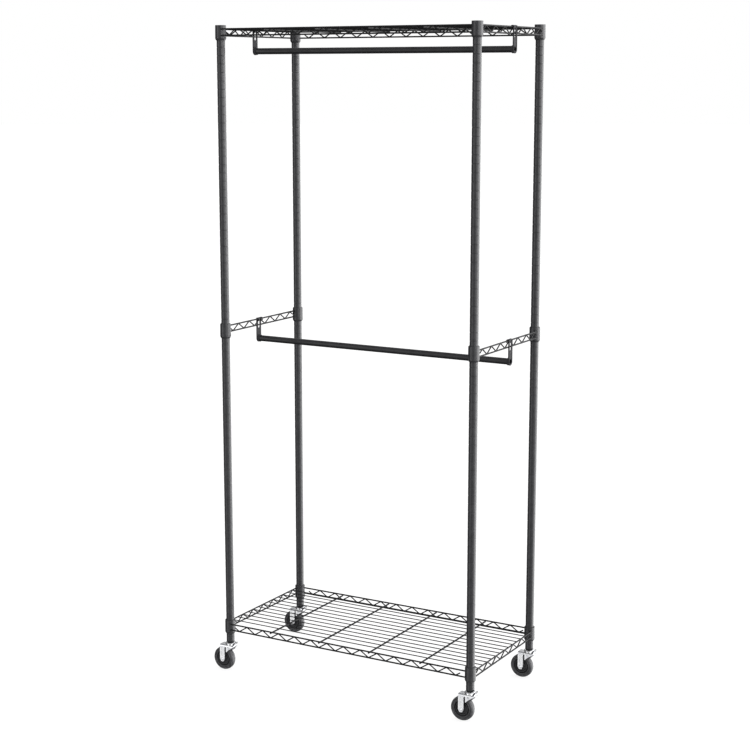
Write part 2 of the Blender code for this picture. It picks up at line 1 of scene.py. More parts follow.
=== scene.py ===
"""The looks of a rolling clothes rack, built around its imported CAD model. Metres, +Z up, front at -Y."""

import math

import bmesh
import bpy
from mathutils import Matrix, Vector


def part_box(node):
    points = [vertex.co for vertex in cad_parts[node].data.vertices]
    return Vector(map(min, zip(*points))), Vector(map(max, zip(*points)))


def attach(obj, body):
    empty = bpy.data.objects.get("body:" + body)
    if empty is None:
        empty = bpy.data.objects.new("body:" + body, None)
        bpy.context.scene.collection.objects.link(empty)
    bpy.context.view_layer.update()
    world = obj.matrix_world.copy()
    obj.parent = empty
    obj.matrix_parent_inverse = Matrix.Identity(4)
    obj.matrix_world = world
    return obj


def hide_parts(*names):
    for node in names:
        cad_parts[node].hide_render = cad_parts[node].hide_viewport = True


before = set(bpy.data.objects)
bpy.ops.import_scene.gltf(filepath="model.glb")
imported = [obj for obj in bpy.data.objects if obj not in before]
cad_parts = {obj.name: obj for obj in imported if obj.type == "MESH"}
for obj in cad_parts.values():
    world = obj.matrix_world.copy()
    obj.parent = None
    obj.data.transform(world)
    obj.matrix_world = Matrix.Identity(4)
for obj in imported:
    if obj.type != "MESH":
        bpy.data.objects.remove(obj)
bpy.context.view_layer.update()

# The words that the names of nodes, bodies and pieces are made of
FACES = ("front", "back")
SIDES = ("left", "right")
CORNERS = [f"{face}_{side}" for face in FACES for side in SIDES]
OUTWARD = {"left": -1, "right": 1}

# A shape made about Z is laid along X or Y. A flat outline made in X and Y is stood up in X and Z.
AXIS_X = Matrix.Rotation(math.pi / 2, 4, "Y")
AXIS_Y = Matrix.Rotation(math.pi / 2, 4, "X")
UPRIGHT = AXIS_Y

# Smooth shading ends where faces meet at more than this, in degrees
SHARP_ANGLE = 35

# How far a pressed sheet's edges are rounded
SHEET_EDGE = 0.0004

# Posts
GROOVE_PITCH = 0.0254
GROOVE_DEPTH = 0.0007
GROOVE_HALF = 0.0014
POST_WALL = 0.0012

# Collars and sleeves
COLLAR_TOP_RADIUS = 0.0164
COLLAR_FOOT_RADIUS = 0.0168
COLLAR_HEIGHT = 0.0400
SLEEVE_TOP_RADIUS = 0.0142
SLEEVE_FOOT_RADIUS = 0.0150
SKIRT_RADIUS = 0.0163
SKIRT_DROP = 0.0052
FIT_GAP = 0.0003

# Half of the joint between a sleeve's two shells, in degrees
SLEEVE_JOINT = 1.2

# Wires
TRUSS_OFFSET = 0.0125
TRUSS_DROP = 0.0114
TRUSS_DEPTH = 0.0194
TRUSS_END = 0.0095
FRAME_WIRE = 0.0022
FRAME_BEAD = 0.0019
ZIGZAG_WIRE = 0.0018
ZIGZAG_PITCH = 0.0604
ZIGZAG_BEND = 0.0045
LONG_PEAKS = 13
SHORT_PEAKS = 7
DECK_WIRE = 0.0014
DECK_BEAD = 0.0013
DECK_COUNT = 13
DECK_PITCH = 0.0300
DECK_DROP = 0.0004
BRACE_WIRE = 0.0025
BRACE_PITCH = 3 * ZIGZAG_PITCH
BRACE_DROP = 0.0041
BRACE_OVERHANG = 0.0010

# Rods and hooks
ROD_WALL = 0.0015
HOOK_WIDTH = 0.0240
HOOK_SHEET = 0.0022
HOOK_INSIDE = FRAME_WIRE + FIT_GAP
HOOK_OUTSIDE = HOOK_INSIDE + HOOK_SHEET
HOOK_RIM = 0.0013
HOOK_EYE = 0.0068
HOOK_SLOT = 0.0100
HOOK_SLOT_LENGTH = 0.0170
HOOK_PRONG = 0.0060
ROD_DROP = 0.0640

# Casters, about the stem's axis on the floor, with the wheel at -X and the pedal at +X
STEM_RADIUS = 0.0048
KINGPIN_RADIUS = 0.0055
TRAIL = 0.0240
FORK_GAP = 0.0250
FORK_SHEET = 0.0025
FORK_FACE = FORK_GAP / 2 + FORK_SHEET
FORK_BEND = 0.0052
FORK_TOP = 0.0870
LEG_WIDTH = 0.0195
LEG_TIP = 0.0280
LEG_CORNER = 0.0034
NOTCH_X = -0.0100
NOTCH_TOP = 0.0800
NOSE_X = 0.0188
AXLE_RADIUS = 0.0040
BOLT_SEAT = FORK_FACE + 0.0008
BOLT_END = FORK_FACE + 0.0026
BOLT_FLATS = 0.0100
BRAKE_X = 0.0010
BRAKE_Z = 0.0785
TRUNNION_RADIUS = 0.0025
LEVER_WIDTH = 0.0150
LEVER_HALF_SHEET = 0.0010
SHOE_WIDTH = 0.0180
# The thickness of the dark wire round the pedal's edge, which paints in the dark reflection along its rim
PAINTED_RIM_WIRE = 0.0012
PEDAL_HALF = 0.0086
PEDAL_LOW = Vector((0.0150, 0, 0.0840))
PEDAL_HIGH = Vector((0.0217, 0, 0.0972))

# Below 1, so that thin dark wires in front of white keep their depth
VIEW_GAMMA = 0.8

# The floor glows, so that it looks as white as the background
FLOOR_RADIUS = 60
FLOOR_GREY = (0.10, 0.10, 0.10)
FLOOR_GLOW = 0.86

# Softboxes round the room as (azimuth in degrees from +X, level), and the heights that each of the two
# rows fills as (sine of the elevation, level). The first row goes on below the horizon, because nothing
# reflects the floor.
SOFTBOX_STRENGTH = 5.0
SOFTBOXES = [
    (-180, 0.0), (-152, 0.0), (-134, 0.28), (-112, 0.28), (-92, 0.1), (-40, 0.1), (-16, 0.12),
    (2, 0.7), (10, 1.0), (36, 1.0), (60, 0.75), (80, 0.75), (100, 0.08), (180, 0.0),
]
SOFTBOX_WINDOW = [(-0.75, 0.1), (-0.42, 1.0), (0.42, 1.0), (0.75, 0.1)]
HIGH_BOXES = [(-54, 0.0), (-42, 0.6), (-12, 0.5), (4, 0.0)]
HIGH_WINDOW = [(-0.25, 0.0), (-0.02, 1.0), (0.42, 1.0), (0.75, 0.0)]

# How the rest of the room brightens towards the ceiling, as (sine of the elevation, level)
CEILING = [(0.0, 0.05), (0.35, 0.35), (0.7, 0.6)]

# Lights: name, place, target, width, height and watts
AREA_LIGHTS = [
    ("right_softbox", (3.6, 1.6, 1.6), (0, 0, 1.0), 1.6, 3.0, 20),
    ("left_softbox", (-2.6, -3.4, 1.6), (0, 0, 1.0), 1.0, 3.0, 8),
    ("back_softbox", (-2.0, 3.5, 2.7), (0, 0, 0.3), 2.4, 1.8, 6),
]
OVERHEAD_STRENGTH = 3.6
OVERHEAD_SPREAD = 90

# Camera: its place from the middle of the post grid, its turn and its tip down in degrees, and its lens
CAMERA_FROM_GRID = (2.5316, -4.4104, 1.9146)
CAMERA_AZIMUTH = 30.0
CAMERA_PITCH = 10.35
CAMERA_LENS = 79.0
CAMERA_SENSOR = 36


def centre_of(node):
    """The middle of a CAD node's box."""
    low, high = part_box(node)
    return (low + high) / 2


POSTS = {corner: centre_of(f"post_{corner}") for corner in CORNERS}
POST_RADIUS = (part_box("post_front_left")[1].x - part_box("post_front_left")[0].x) / 2
MIDDLE_X = (POSTS["front_left"].x + POSTS["front_right"].x) / 2
HALF_X = (POSTS["front_right"].x - POSTS["front_left"].x) / 2
HALF_Y = POSTS["back_left"].y
WHEEL_RADIUS = centre_of("tyre_front_left").z


# Shape building

def arc(centre, radius, start, end, steps):
    """Points on an arc, in degrees."""
    angles = [math.radians(start + (end - start) * i / steps) for i in range(steps + 1)]
    return [(centre[0] + radius * math.cos(a), centre[1] + radius * math.sin(a)) for a in angles]


def slot_outline(x, low, high, radius):
    """An upright slot."""
    return arc((x, high - radius), radius, 0, 180, 10) + arc((x, low + radius), radius, 180, 360, 10)


def rounded(points, radius, steps=4, closed=True):
    """The points with each corner turned into a short arc of about the radius."""
    points = [Vector(point) for point in points]
    count = len(points)
    out = []
    for i, corner in enumerate(points):
        if not closed and i in (0, count - 1):
            out.append(corner)
            continue
        before = points[i - 1] - corner
        after = points[(i + 1) % count] - corner
        reach = min(radius, 0.45 * before.length, 0.45 * after.length)
        start = corner + before.normalized() * reach
        end = corner + after.normalized() * reach
        for k in range(steps + 1):
            t = k / steps
            out.append(start.lerp(corner, t).lerp(corner.lerp(end, t), t))
    return out


def ring(shape, centre, across, up, radius, sides):
    """One round of a tube's vertices."""
    turns = [2 * math.pi * k / sides for k in range(sides)]
    return [shape.verts.new(centre + radius * (math.cos(a) * across + math.sin(a) * up)) for a in turns]


def bridge(shape, first, second):
    """Faces between two rounds of equal length."""
    count = len(first)
    for k in range(count):
        shape.faces.new((first[k], first[(k + 1) % count], second[(k + 1) % count], second[k]))


def wire(shape, path, radius, sides=12):
    """A round wire along a path, with ends rounded off like sheared and coated wire."""
    path = [Vector(point) for point in path]
    count = len(path)
    tangents = []
    for i in range(count):
        step = path[min(i + 1, count - 1)] - path[max(i - 1, 0)]
        tangents.append(step.normalized())
    across = tangents[0].orthogonal().normalized()
    rounds = []
    for i, (point, along) in enumerate(zip(path, tangents)):
        across = (across - along * across.dot(along)).normalized()
        up = along.cross(across)
        if i == 0:
            rounds.append(ring(shape, point - 0.3 * radius * along, across, up, 0.7 * radius, sides))
        rounds.append(ring(shape, point, across, up, radius, sides))
        if i == count - 1:
            rounds.append(ring(shape, point + 0.3 * radius * along, across, up, 0.7 * radius, sides))
    for first, second in zip(rounds, rounds[1:]):
        bridge(shape, first, second)
    shape.faces.new(list(reversed(rounds[0])))
    shape.faces.new(rounds[-1])


def turned(shape, profile, sides=48, place=None, closed=False, start=0.0, end=360.0):
    """Turns a profile of (radius, height) about Z. Part turns get flat ends."""
    place = place or Matrix.Identity(4)
    whole = abs(end - start) >= 360
    steps = sides if whole else sides + 1
    columns = []
    axis_points = {}
    for k in range(steps):
        angle = math.radians(start + (end - start) * k / sides)
        column = []
        for i, (radius, height) in enumerate(profile):
            if radius == 0:
                if i not in axis_points:
                    axis_points[i] = shape.verts.new(place @ Vector((0, 0, height)))
                column.append(axis_points[i])
            else:
                spot = Vector((radius * math.cos(angle), radius * math.sin(angle), height))
                column.append(shape.verts.new(place @ spot))
        columns.append(column)
    spans = len(profile) if closed else len(profile) - 1
    for k in range(steps if whole else steps - 1):
        here = columns[k]
        there = columns[(k + 1) % steps]
        for i in range(spans):
            j = (i + 1) % len(profile)
            corners = [here[i], here[j], there[j], there[i]]
            unique = list(dict.fromkeys(corners))
            if len(unique) > 2:
                shape.faces.new(unique)
    if not whole and closed:
        shape.faces.new(list(reversed(columns[0])))
        shape.faces.new(columns[-1])


def plate(shape, outlines, thickness, bevel, place):
    """A flat plate with rounded edges. The first outline is its edge and the others are holes."""
    curve = bpy.data.curves.new("plate_outline", "CURVE")
    curve.dimensions = "2D"
    curve.fill_mode = "BOTH"
    curve.extrude = thickness / 2 - bevel
    curve.bevel_depth = bevel
    curve.bevel_resolution = 2
    curve.offset = -bevel
    for outline in outlines:
        spline = curve.splines.new("POLY")
        spline.use_cyclic_u = True
        spline.points.add(len(outline) - 1)
        for point, spot in zip(spline.points, outline):
            point.co = (spot[0], spot[1], 0, 1)
    holder = bpy.data.objects.new("plate_holder", curve)
    bpy.context.scene.collection.objects.link(holder)
    bpy.context.view_layer.update()
    mesh = bpy.data.meshes.new_from_object(holder.evaluated_get(bpy.context.evaluated_depsgraph_get()))
    mesh.transform(place)
    first = len(shape.verts)
    shape.from_mesh(mesh)
    shape.verts.ensure_lookup_table()
    bmesh.ops.remove_doubles(shape, verts=shape.verts[first:], dist=0.000005)
    bpy.data.objects.remove(holder, do_unlink=True)
    bpy.data.curves.remove(curve)
    bpy.data.meshes.remove(mesh)


def piece(name, shape, body, nodes, material, place):
    """Makes an object of the shape, hangs it on the body it rides on, and hides the CAD parts it stands
    for.
    """
    bmesh.ops.recalc_face_normals(shape, faces=shape.faces)
    mesh = bpy.data.meshes.new(name)
    shape.to_mesh(mesh)
    shape.free()
    mesh.materials.append(material)
    mesh.shade_smooth()
    mesh.set_sharp_from_angle(angle=math.radians(SHARP_ANGLE))
    made = bpy.data.objects.new(name, mesh)
    bpy.context.scene.collection.objects.link(made)
    made.matrix_world = place
    flats = made.modifiers.new("even_flats", "WEIGHTED_NORMAL")
    flats.keep_sharp = True
    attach(made, body)
    if nodes:
        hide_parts(*nodes)


# Materials

def node_material(name, colour, roughness, metallic=0.0):
    """A Principled material, returned with its node tree and shader."""
    material = bpy.data.materials.new(name)
    material.use_nodes = True
    tree = material.node_tree
    shader = tree.nodes["Principled BSDF"]
    shader.inputs["Base Color"].default_value = (*colour, 1)
    shader.inputs["Roughness"].default_value = roughness
    shader.inputs["Metallic"].default_value = metallic
    return material, tree, shader


def object_noise(tree, scale, detail, stretch=(1, 1, 1)):
    """A noise texture in the object's own space."""
    place = tree.nodes.new("ShaderNodeTexCoord")
    mapping = tree.nodes.new("ShaderNodeMapping")
    mapping.inputs["Scale"].default_value = stretch
    noise = tree.nodes.new("ShaderNodeTexNoise")
    noise.inputs["Scale"].default_value = scale
    noise.inputs["Detail"].default_value = detail
    tree.links.new(place.outputs["Object"], mapping.inputs["Vector"])
    tree.links.new(mapping.outputs["Vector"], noise.inputs["Vector"])
    return noise.outputs["Fac"]


def colour_ramp(tree, source, low, high):
    """A colour that goes from low to high over the middle of the source's range."""
    made = tree.nodes.new("ShaderNodeValToRGB")
    for element, position, colour in zip(made.color_ramp.elements, (0.3, 0.7), (low, high)):
        element.position = position
        element.color = (*colour, 1)
    tree.links.new(source, made.inputs["Fac"])
    return made.outputs["Color"]


def map_range(tree, source, start, end, low, high):
    """Carries a value that runs from start to end over to low to high."""
    made = tree.nodes.new("ShaderNodeMapRange")
    for name, value in (("From Min", start), ("From Max", end), ("To Min", low), ("To Max", high)):
        made.inputs[name].default_value = value
    tree.links.new(source, made.inputs["Value"])
    return made.outputs["Result"]


def vary_colour(tree, shader, colour, spread, scale):
    """Drifts the base colour a little over the surface."""
    low = [max(0.0, c * (1 - spread)) for c in colour]
    high = [c * (1 + spread) for c in colour]
    drift = colour_ramp(tree, object_noise(tree, scale, 4), low, high)
    tree.links.new(drift, shader.inputs["Base Color"])


def vary_roughness(tree, shader, low, high, scale, stretch=(1, 1, 1)):
    """Drifts the roughness over the surface."""
    noise = object_noise(tree, scale, 3, stretch)
    tree.links.new(map_range(tree, noise, 0, 1, low, high), shader.inputs["Roughness"])


def add_bump(tree, shader, scale, detail, strength, distance, stretch=(1, 1, 1)):
    """A fine surface relief."""
    bump = tree.nodes.new("ShaderNodeBump")
    bump.inputs["Strength"].default_value = strength
    bump.inputs["Distance"].default_value = distance
    tree.links.new(object_noise(tree, scale, detail, stretch), bump.inputs["Height"])
    tree.links.new(bump.outputs["Normal"], shader.inputs["Normal"])


def powder_coat(name, colour, low, high, gloss):
    """Charcoal powder coat: a fine orange-peel skin with small changes of tone and gloss."""
    material, tree, shader = node_material(name, colour, low)
    vary_colour(tree, shader, colour, 0.14, 60)
    vary_roughness(tree, shader, low, high, 260)
    add_bump(tree, shader, 1500, 3, 0.35, 0.00012)
    shader.inputs["Specular IOR Level"].default_value = gloss
    return material


def satin_coat():
    """The rods' smoother and darker coat, with faint lines along the tube."""
    colour = (0.020, 0.020, 0.022)
    material, tree, shader = node_material("satin_rod_coat", colour, 0.3)
    vary_colour(tree, shader, colour, 0.15, 40)
    vary_roughness(tree, shader, 0.24, 0.36, 180, (0.1, 1, 1))
    add_bump(tree, shader, 900, 2, 0.2, 0.00006, (0.08, 1, 1))
    return material


def moulded_plastic(name, colour, low, high, gloss=0.5):
    """Black plastic with a spark-eroded mould texture."""
    material, tree, shader = node_material(name, colour, low)
    shader.inputs["Specular IOR Level"].default_value = gloss
    vary_colour(tree, shader, colour, 0.12, 90)
    vary_roughness(tree, shader, low, high, 400)
    add_bump(tree, shader, 2200, 2, 0.3, 0.00008)
    return material


def tyre_rubber():
    """Matt rubber with a faint bloom and fine moulding grain."""
    colour = (0.070, 0.070, 0.074)
    material, tree, shader = node_material("tyre_rubber", colour, 0.4)
    vary_colour(tree, shader, colour, 0.3, 70)
    vary_roughness(tree, shader, 0.32, 0.46, 150)
    add_bump(tree, shader, 1100, 4, 0.25, 0.00010)
    return material


def zinc_plate(name, low, high):
    """Bright zinc plate: cloudy tone, fine drawing lines and soft gloss."""
    colour = (0.76, 0.77, 0.78)
    material, tree, shader = node_material(name, colour, low, 1.0)
    cloud = colour_ramp(tree, object_noise(tree, 55, 5), (0.64, 0.65, 0.68), (0.87, 0.87, 0.87))
    tree.links.new(cloud, shader.inputs["Base Color"])
    vary_roughness(tree, shader, low, high, 320, (1, 1, 0.25))
    add_bump(tree, shader, 700, 4, 0.12, 0.0001, (1, 1, 0.2))
    return material


COAT = powder_coat("post_powder_coat", (0.042, 0.042, 0.045), 0.22, 0.30, 0.62)
WIRE_COAT = powder_coat("wire_powder_coat", (0.016, 0.016, 0.017), 0.46, 0.56, 0.25)
HOOK_COAT = powder_coat("hook_powder_coat", (0.045, 0.045, 0.048), 0.48, 0.58, 0.12)
ROD_COAT = satin_coat()
SLEEVE_PLASTIC = moulded_plastic("sleeve_plastic", (0.042, 0.042, 0.045), 0.24, 0.32, 0.62)
PLUG_PLASTIC = moulded_plastic("plug_plastic", (0.030, 0.030, 0.032), 0.40, 0.55)
HUB_PLASTIC = moulded_plastic("hub_plastic", (0.035, 0.035, 0.038), 0.30, 0.42)
RUBBER = tyre_rubber()
ZINC = zinc_plate("caster_zinc", 0.20, 0.34)
BOLT_ZINC = zinc_plate("axle_zinc", 0.16, 0.28)


# Posts, caps and sleeves

def post_profile(low, high, radius):
    """The outer wall from top to bottom with a shallow groove every pitch, then the bore."""
    points = [(radius - 0.0004, high), (radius, high - 0.0004)]
    level = high - GROOVE_PITCH / 2
    while level - GROOVE_HALF > low + 0.002:
        for across, depth in ((1, 0), (0.55, 0.7), (0.2, 1), (-0.2, 1), (-0.55, 0.7), (-1, 0)):
            points.append((radius - depth * GROOVE_DEPTH, level + across * GROOVE_HALF))
        level -= GROOVE_PITCH
    inner = radius - POST_WALL
    return points + [(radius, low + 0.0004), (radius - 0.0004, low), (inner, low), (inner, high)]


def make_posts():
    """Grooved tubes, their caps and their foot inserts."""
    for corner in CORNERS:
        low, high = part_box(f"post_{corner}")
        spot = POSTS[corner]
        shape = bmesh.new()
        turned(shape, post_profile(low.z, high.z, POST_RADIUS), 40, closed=True)
        place = Matrix.Translation((spot.x, spot.y, 0))
        piece(f"grooved_post_{corner}", shape, "frame", [f"post_{corner}"], COAT, place)
        make_cap(corner, spot)
        make_insert(corner, spot)


def make_cap(corner, spot):
    """A flush cap with a softly rounded rim and a plug below."""
    low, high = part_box(f"post_cap_{corner}")
    plug = POST_RADIUS - POST_WALL - FIT_GAP
    flange = high.z - 0.0020
    top = [(0.0, high.z), (POST_RADIUS - 0.0010, high.z), (POST_RADIUS - 0.0003, high.z - 0.0003)]
    rim = [(POST_RADIUS, high.z - 0.0010), (POST_RADIUS, flange), (plug, flange)]
    shape = bmesh.new()
    turned(shape, top + rim + [(plug - 0.0010, low.z), (0.0, low.z)])
    place = Matrix.Translation((spot.x, spot.y, 0))
    piece(f"cap_{corner}", shape, "frame", [f"post_cap_{corner}"], PLUG_PLASTIC, place)


def make_insert(corner, spot):
    """The moulded foot insert, with its rounded rim showing under the post."""
    low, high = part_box(f"post_insert_{corner}")
    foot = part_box(f"post_{corner}")[0].z
    outer = POST_RADIUS - POST_WALL - FIT_GAP
    bore = STEM_RADIUS + FIT_GAP
    plug = [(bore, high.z), (outer, high.z), (outer, foot - FIT_GAP)]
    rim = [(POST_RADIUS, foot - FIT_GAP), (POST_RADIUS - 0.0003, foot - 0.0014)]
    rim += [(POST_RADIUS - 0.0012, foot - 0.0026), (POST_RADIUS - 0.0026, low.z)]
    shape = bmesh.new()
    turned(shape, plug + rim + [(bore, low.z)], closed=True)
    place = Matrix.Translation((spot.x, spot.y, 0))
    node = f"post_insert_{corner}"
    piece(f"foot_insert_{corner}", shape, "frame", [node], PLUG_PLASTIC, place)


def sleeve_profile(lip):
    """A tapered half shell with a rounded lip and a chamfered skirt, from the collar's top at z = 0."""
    inner = POST_RADIUS + FIT_GAP
    seat = -COLLAR_HEIGHT - FIT_GAP
    foot = seat - SKIRT_DROP
    shell = [(inner, lip), (SLEEVE_TOP_RADIUS - 0.0005, lip), (SLEEVE_TOP_RADIUS, lip - 0.0005)]
    shell += [(SLEEVE_FOOT_RADIUS, seat), (SKIRT_RADIUS - 0.0003, seat)]
    skirt = [(SKIRT_RADIUS, seat - 0.0006), (SKIRT_RADIUS - 0.0006, seat - 0.0020)]
    skirt += [(SKIRT_RADIUS - 0.0024, foot + 0.0005), (SKIRT_RADIUS - 0.0029, foot), (inner, foot)]
    return shell + skirt


def make_sleeves():
    """Each sleeve is two half shells with a fine joint between them."""
    for level in ("upper", "middle", "lower"):
        for corner in CORNERS:
            node = f"{level}_sleeve_{corner}"
            low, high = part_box(node)
            top = low.z + COLLAR_HEIGHT + FIT_GAP + SKIRT_DROP
            spot = POSTS[corner]
            facing = math.degrees(math.atan2(-spot.y, MIDDLE_X - spot.x))
            shape = bmesh.new()
            for half in (0, 180):
                begin = facing + half + SLEEVE_JOINT
                end = facing + half + 180 - SLEEVE_JOINT
                turned(shape, sleeve_profile(high.z - top), 28, closed=True, start=begin, end=end)
            place = Matrix.Translation((spot.x, spot.y, top))
            piece(f"split_{node}", shape, "frame", [node], SLEEVE_PLASTIC, place)


# Shelves and ledges

def collar(shape, spot):
    """A welded collar, slightly tapered inside and out, with eased edges."""
    top_bore = SLEEVE_TOP_RADIUS + FIT_GAP
    foot_bore = SLEEVE_FOOT_RADIUS + FIT_GAP
    outline = [(top_bore, 0.0), (COLLAR_TOP_RADIUS, 0.0)]
    outline += [(COLLAR_FOOT_RADIUS, -COLLAR_HEIGHT), (foot_bore, -COLLAR_HEIGHT)]
    turned(shape, rounded(outline, 0.0006, 2), 48, Matrix.Translation((spot.x, spot.y, 0)), closed=True)


def make_collars(node, spots):
    """The collars of a shelf or ledge, coated like the posts."""
    shape = bmesh.new()
    for spot in spots:
        collar(shape, spot)
    place = Matrix.Translation((0, 0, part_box(node)[1].z))
    piece(f"collars_of_{node}", shape, "frame", [], COAT, place)


def zigzag(peaks, ends_low):
    """(along, height) of a truss's bent wire. It ends in half legs, from a valley if ends_low."""
    half = ZIGZAG_PITCH / 2
    reach = peaks if ends_low else peaks - 1
    turns = [(i * half, -TRUSS_DEPTH * (abs(i - reach + ends_low) % 2)) for i in range(-reach, reach + 1)]
    end = (turns[-1][0] + half / 2, -TRUSS_DEPTH / 2)
    return [(-end[0], end[1])] + turns + [end]


def weld_bead(shape, spot, along, radius):
    """A small smooth swelling where two wires are spot-welded."""
    place = Matrix.Translation(spot) @ along.to_track_quat("X", "Z").to_matrix().to_4x4()
    stretch = Matrix.Diagonal((1.7 * radius, radius, radius, 1))
    bmesh.ops.create_uvsphere(shape, u_segments=10, v_segments=6, radius=1, matrix=place @ stretch)


def truss(shape, half_length, bends, to_place):
    """Top wire, bottom wire and the bent wire between them, welded at each bend."""
    for height in (0, -TRUSS_DEPTH):
        wire(shape, [to_place(-half_length, height), to_place(half_length, height)], FRAME_WIRE)
    path = rounded(bends, ZIGZAG_BEND, 4, closed=False)
    wire(shape, [to_place(point[0], point[1]) for point in path], ZIGZAG_WIRE, 10)
    along = Vector(to_place(1, 0)) - Vector(to_place(0, 0))
    for spot in bends[1:-1]:
        inward = 0.0012 if spot[1] == 0 else -0.0012
        weld_bead(shape, Vector(to_place(spot[0], spot[1] - inward)), along, FRAME_BEAD)


def side_truss(shape, side):
    """The truss from front to back at one side."""
    x = POSTS[f"front_{side}"].x + OUTWARD[side] * TRUSS_OFFSET
    reach = HALF_Y - TRUSS_END
    truss(shape, reach, zigzag(SHORT_PEAKS, False), lambda y, z: (x, y, z - TRUSS_DROP))


def face_truss(shape, face):
    """The truss along the front or the back."""
    y = math.copysign(HALF_Y + TRUSS_OFFSET, POSTS[f"{face}_left"].y)
    reach = HALF_X - TRUSS_END
    truss(shape, reach, zigzag(LONG_PEAKS, True), lambda x, z: (MIDDLE_X + x, y, z - TRUSS_DROP))


def deck(shape):
    """The deck wires on their braces, with a weld at each crossing."""
    reach = HALF_X + TRUSS_OFFSET
    z = -TRUSS_DROP - DECK_DROP
    brace_z = -TRUSS_DROP - BRACE_DROP
    brace_reach = HALF_Y + TRUSS_OFFSET + BRACE_OVERHANG
    rows = [(i - (DECK_COUNT - 1) / 2) * DECK_PITCH for i in range(DECK_COUNT)]
    for y in rows:
        wire(shape, [(MIDDLE_X - reach, y, z), (MIDDLE_X + reach, y, z)], DECK_WIRE, 10)
    for step in (-1.5, -0.5, 0.5, 1.5):
        x = MIDDLE_X + step * BRACE_PITCH
        wire(shape, [(x, -brace_reach, brace_z), (x, brace_reach, brace_z)], BRACE_WIRE)
        for y in rows:
            weld_bead(shape, Vector((x, y, z - 0.0008)), Vector((1, 0, 0)), DECK_BEAD)


def make_shelves():
    """The wire shelves: collars, then the trusses and the deck as one welded piece."""
    for node in ("upper_shelf", "lower_shelf"):
        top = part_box(node)[1].z
        make_collars(node, [POSTS[corner] for corner in CORNERS])
        shape = bmesh.new()
        for face in FACES:
            face_truss(shape, face)
        for side in SIDES:
            side_truss(shape, side)
        deck(shape)
        place = Matrix.Translation((0, 0, top))
        piece(f"welded_{node}", shape, "frame", [node], WIRE_COAT, place)


def make_ledges():
    """The side ledges: two collars, then a short truss between them."""
    for side in SIDES:
        node = f"{side}_ledge"
        make_collars(node, [POSTS[f"{face}_{side}"] for face in FACES])
        shape = bmesh.new()
        side_truss(shape, side)
        place = Matrix.Translation((0, 0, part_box(node)[1].z))
        piece(f"welded_{node}", shape, "frame", [node], WIRE_COAT, place)


# Rods and hooks

def make_rods():
    """Tubes with eased ends."""
    for node in ("upper_rod", "middle_rod"):
        low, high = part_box(node)
        middle = (low + high) / 2
        outer = (high.z - low.z) / 2
        half = (high.x - low.x) / 2
        outline = [(outer - ROD_WALL, half), (outer, half), (outer, -half), (outer - ROD_WALL, -half)]
        shape = bmesh.new()
        turned(shape, rounded(outline, 0.0005, 2), 56, AXIS_X, closed=True)
        piece(f"tube_{node}", shape, "frame", [node], ROD_COAT, Matrix.Translation(middle))


def hook_plate(shape):
    """The upright plate with its eye and slot."""
    half = HOOK_WIDTH / 2
    middle = Matrix.Translation((HOOK_INSIDE + HOOK_SHEET / 2, 0, 0))
    edge = [(-half, HOOK_INSIDE)] + arc((0, -ROD_DROP), half, 180, 360, 24) + [(half, HOOK_INSIDE)]
    eye = arc((0, -ROD_DROP), HOOK_EYE, 0, 345, 23)
    slot_top = -HOOK_INSIDE - 0.0010
    slot = slot_outline(0, slot_top - HOOK_SLOT - HOOK_SLOT_LENGTH, slot_top, HOOK_SLOT / 2)
    place = middle @ Matrix.Rotation(math.pi / 2, 4, "Z") @ UPRIGHT
    plate(shape, [edge, eye, slot], HOOK_SHEET, SHEET_EDGE, place)


def hook_rims(shape):
    """The raised rim down the sides and round the foot, and the lip round the eye."""
    side = HOOK_WIDTH / 2 - HOOK_RIM
    top = HOOK_INSIDE + 0.0010
    rim = [(-side, top)] + arc((0, -ROD_DROP), side, 180, 360, 24) + [(side, top)]
    wire(shape, [(HOOK_OUTSIDE, y, z) for y, z in rim], HOOK_RIM, 10)
    lip = [(HOOK_EYE + 0.0028, 0.0), (HOOK_EYE + 0.0020, 0.0014)]
    lip += [(HOOK_EYE + 0.0006, 0.0012), (HOOK_EYE, 0.0)]
    place = Matrix.Translation((HOOK_OUTSIDE - 0.0003, 0, -ROD_DROP)) @ AXIS_X
    turned(shape, lip, 32, place, closed=True)


def hook_bend(shape):
    """The sheet bent over the truss wire: two prongs that grip it, and the crown between them."""
    root = [(HOOK_INSIDE, -0.0020), (HOOK_OUTSIDE, -0.0020)]
    prong = root + arc((0, 0), HOOK_OUTSIDE, 0, 180, 12)
    prong += [(-HOOK_OUTSIDE, -0.0060), (-HOOK_INSIDE, -0.0060)] + arc((0, 0), HOOK_INSIDE, 180, 0, 10)
    for side in (-1, 1):
        middle = Matrix.Translation((0, side * (HOOK_WIDTH - HOOK_PRONG) / 2, 0))
        plate(shape, [prong], HOOK_PRONG, SHEET_EDGE, middle @ UPRIGHT)
    crown = root + arc((0, 0), HOOK_OUTSIDE, 0, 120, 8) + arc((0, 0), HOOK_INSIDE, 120, 0, 7)
    plate(shape, [crown], HOOK_WIDTH - 2 * HOOK_PRONG + 0.0004, 0.0002, UPRIGHT)


def hook_shape():
    """A hook for the right side: x = 0 at the truss wire's centre and z = 0 at its height."""
    shape = bmesh.new()
    hook_plate(shape)
    hook_rims(shape)
    hook_bend(shape)
    cup = [(0.0098, 0.0005), (0.0115, 0.0005), (0.0115, -0.0055), (0.0110, -0.0060), (0.0098, -0.0060)]
    turned(shape, cup, 40, Matrix.Translation((HOOK_INSIDE, 0, -ROD_DROP)) @ AXIS_X, closed=True)
    return shape


